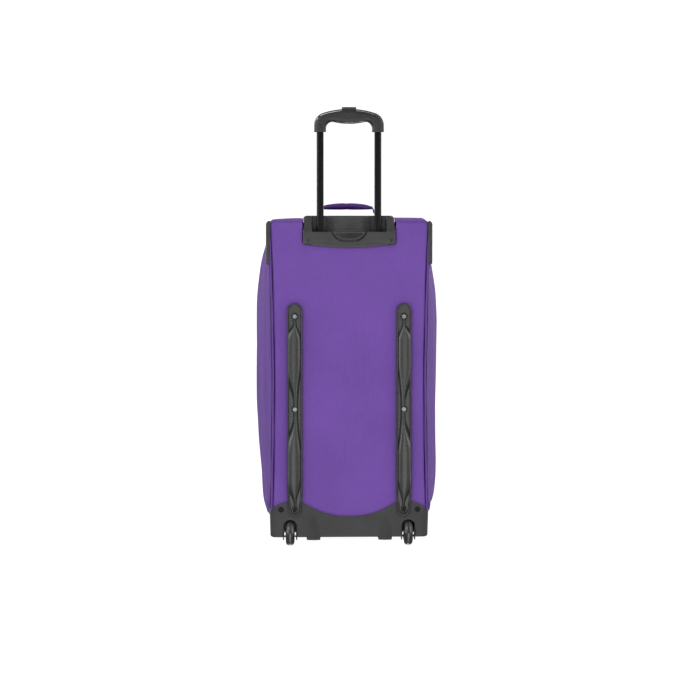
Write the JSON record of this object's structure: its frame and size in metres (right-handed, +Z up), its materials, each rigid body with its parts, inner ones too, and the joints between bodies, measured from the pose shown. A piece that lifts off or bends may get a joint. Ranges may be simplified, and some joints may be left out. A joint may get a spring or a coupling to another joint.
{
  "type": "softside upright suitcase",
  "caption": "Softside two-wheeled trolley bag with bulging fabric sides, moulded base tray, skid rails and an extended telescopic pull handle.",
  "frame": {"origin": "on the floor, under the middle of the bounding box", "axes": "+Z up, +Y towards the front with the lid, +X across the bag"},
  "size_m": [0.395, 0.33, 0.919],
  "materials": {
    "fabric": "padded woven polyester",
    "piping": "woven edge piping",
    "webbing": "woven webbing",
    "tape": "woven zip tape with coil teeth",
    "lining": "thin woven lining",
    "moulded": "fine-textured moulded plastic",
    "tread": "smooth wheel tread",
    "foot": "moulded foot",
    "nylon": "natural nylon",
    "board": "stiffener sheet",
    "tube": "black anodised tube",
    "steel": "zinc-plated steel",
    "black_screw": "black-coated screw",
    "brass_pin": "turned pin"
  },
  "bodies": {
    "bag": {"base_tray": "moulded", "bottom_board": "board", "wheel_housing_left": "moulded", "wheel_housing_right": "moulded", "wheel_axles": "steel", "skid_rail_left": "moulded", "skid_rail_right": "moulded", "rear_screws": "black_screw", "back_board": "board", "handle_housing": "moulded", "housing_screws": "steel", "outer_tube_left": "tube", "outer_tube_right": "tube", "outer_collars": "moulded", "tube_bracket": "moulded", "front_feet": "foot", "opening_frame": "steel", "back_panel": "fabric", "side_panel_left": "fabric", "side_panel_right": "fabric", "top_panel": "fabric", "front_border": "fabric", "back_piping": "piping", "edge_guards": "moulded", "handle_anchors": "moulded", "body_zip_tape": "tape", "back_lining": "lining"},
    "mid_stage": {"mid_tube_left": "tube", "mid_tube_right": "tube", "mid_collars": "moulded"},
    "grip_stage": {"inner_tube_left": "tube", "inner_tube_right": "tube", "inner_plugs": "nylon", "grip_back_shell": "moulded", "grip_front_shell": "moulded", "grip_screws": "steel", "button_spring": "steel"},
    "release_button": {"push_button": "moulded", "release_yoke": "nylon", "push_rods": "steel"},
    "lock_left": {"lock_pin_left": "brass_pin"},
    "lock_right": {"lock_pin_right": "brass_pin"},
    "wheel_left": {"tyre_left": "tread", "hub_left": "moulded", "bearings_left": "steel"},
    "wheel_right": {"tyre_right": "tread", "hub_right": "moulded", "bearings_right": "steel"},
    "carry_handle": {"carry_pad": "fabric", "carry_webbing": "webbing"},
    "lid": {"lid_panel": "fabric", "front_pocket": "fabric", "lid_zip_tape": "tape", "pocket_zip_tape": "tape"},
    "main_zip": {"main_slider": "moulded"},
    "main_zip_pull": {"main_pull": "moulded"},
    "pocket_zip": {"pocket_slider": "moulded"},
    "pocket_zip_pull": {"pocket_pull": "moulded"}
  },
  "joints": [
    {"name": "mid_slide", "type": "slide", "parent": "bag", "child": "mid_stage", "axis": [0, 0, 1], "range_m": [0, 0.17]},
    {"name": "grip_slide", "type": "slide", "parent": "mid_stage", "child": "grip_stage", "axis": [0, 0, 1], "range_m": [-0.22, 0]},
    {"name": "button_press", "type": "slide", "parent": "grip_stage", "child": "release_button", "axis": [0, 0, 1], "range_m": [-0.004, 0], "stiffness_N_per_m": 600, "springref_m": 0.004, "deforming": ["button_spring"]},
    {"name": "lock_left_retract", "type": "slide", "parent": "grip_stage", "child": "lock_left", "axis": [1, 0, 0], "range_m": [0, 0.002]},
    {"name": "lock_right_retract", "type": "slide", "parent": "grip_stage", "child": "lock_right", "axis": [1, 0, 0], "range_m": [-0.002, 0]},
    {"name": "wheel_left_spin", "type": "hinge", "parent": "bag", "child": "wheel_left", "pos_m": [-0.124, -0.136, 0.029], "axis": [1, 0, 0], "continuous": true},
    {"name": "wheel_right_spin", "type": "hinge", "parent": "bag", "child": "wheel_right", "pos_m": [0.124, -0.136, 0.029], "axis": [1, 0, 0], "continuous": true},
    {"name": "carry_handle_swing", "type": "hinge", "parent": "bag", "child": "carry_handle", "pos_m": [0, 0, 0.687], "axis": [1, 0, 0], "range_deg": [-60, 60], "stiffness_Nm_per_rad": 0.3},
    {"name": "lid_hinge", "type": "hinge", "parent": "bag", "child": "lid", "pos_m": [-0.16, 0.149, 0.36], "axis": [0, 0, 1], "range_deg": [0, 180]},
    {"name": "main_zip_slide", "type": "slide", "parent": "lid", "child": "main_zip", "axis": [0, 0, 1], "range_m": [-0.26, 0.24]},
    {"name": "main_pull_flip", "type": "hinge", "parent": "main_zip", "child": "main_zip_pull", "pos_m": [0.154, 0.1458, 0.37], "axis": [1, 0, 0], "range_deg": [0, 165]},
    {"name": "pocket_zip_slide", "type": "slide", "parent": "lid", "child": "pocket_zip", "axis": [1, 0, 0], "range_m": [-0.19, 0.035]},
    {"name": "pocket_pull_flip", "type": "hinge", "parent": "pocket_zip", "child": "pocket_zip_pull", "pos_m": [0.078, 0.1536, 0.398], "axis": [0, 0, 1], "range_deg": [-165, 0]}
  ],
  "couplings": [
    {"joint": "lock_left_retract", "follows": "button_press", "ratio": -0.5},
    {"joint": "lock_right_retract", "follows": "button_press", "ratio": 0.5}
  ]
}
